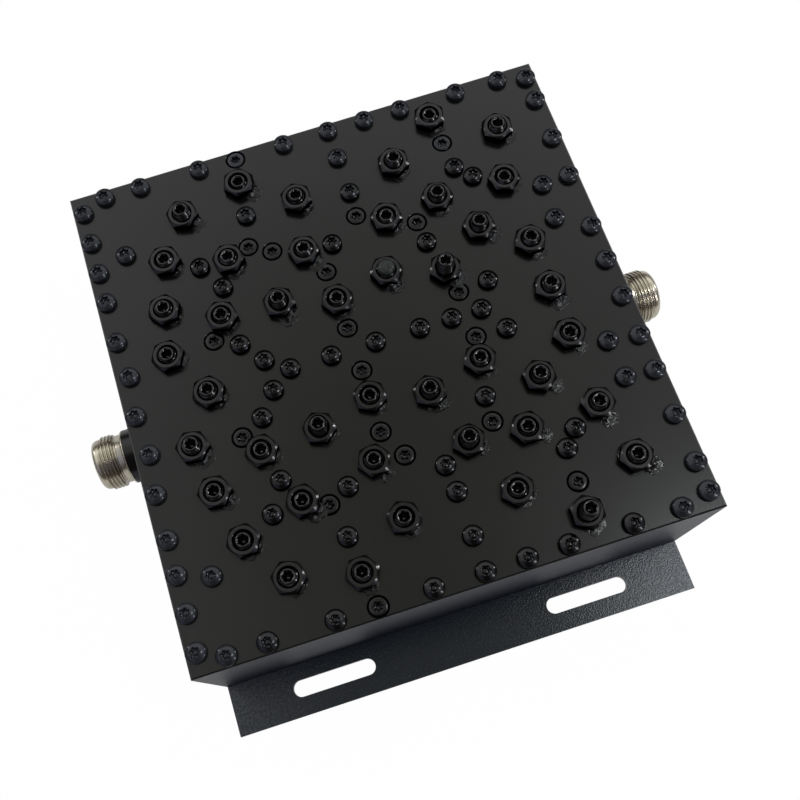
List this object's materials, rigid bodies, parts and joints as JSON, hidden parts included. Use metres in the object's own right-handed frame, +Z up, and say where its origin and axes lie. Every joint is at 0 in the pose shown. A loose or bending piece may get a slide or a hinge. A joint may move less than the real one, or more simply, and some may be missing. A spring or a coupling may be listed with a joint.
{
  "type": "cavity filter",
  "caption": "Black box-shaped radio filter with lock-nutted tuning screws on its cover, a threaded coaxial socket on each side and slotted mounting flanges.",
  "frame": {"origin": "middle of the base plate's underside", "axes": "+Z up through the cover, +X out of the right connector, +Y towards the rear flange"},
  "size_m": [0.172, 0.1706, 0.0547],
  "materials": {
    "body_paint": "satin",
    "base_powder_coat": "matte",
    "black_steel": "satin",
    "bright_steel": "satin",
    "silver_plate": "satin",
    "nickel_plate": "gloss",
    "white_insulator": "matte",
    "gold_plate": "gloss",
    "copper_wire": "satin"
  },
  "bodies": {
    "root": {"housing": "body_paint", "cover_plate": "body_paint", "base_plate": "base_powder_coat", "cover_screws": "black_steel", "flush_screws": "black_steel", "base_plate_screws": "black_steel", "lock_nuts": "black_steel", "tuning_screws": "black_steel", "coupling_screws": "black_steel", "post_screws": "bright_steel", "post_left": "silver_plate", "post_right": "silver_plate", "post_rear_1": "silver_plate", "post_rear_2": "silver_plate", "post_rear_3": "silver_plate", "post_rear_4": "silver_plate", "post_rear_5": "silver_plate", "post_rear_6": "silver_plate", "post_rear_7": "silver_plate", "post_rear_8": "silver_plate", "post_front_1": "silver_plate", "post_front_2": "silver_plate", "post_front_3": "silver_plate", "post_front_4": "silver_plate", "post_front_5": "silver_plate", "post_front_6": "silver_plate", "post_front_7": "silver_plate", "post_front_8": "silver_plate", "left_connector_shell": "nickel_plate", "left_insulator": "white_insulator", "left_centre_contact": "gold_plate", "left_tap_wire": "copper_wire", "right_connector_shell": "nickel_plate", "right_insulator": "white_insulator", "right_centre_contact": "gold_plate", "right_tap_wire": "copper_wire"}
  },
  "joints": []
}
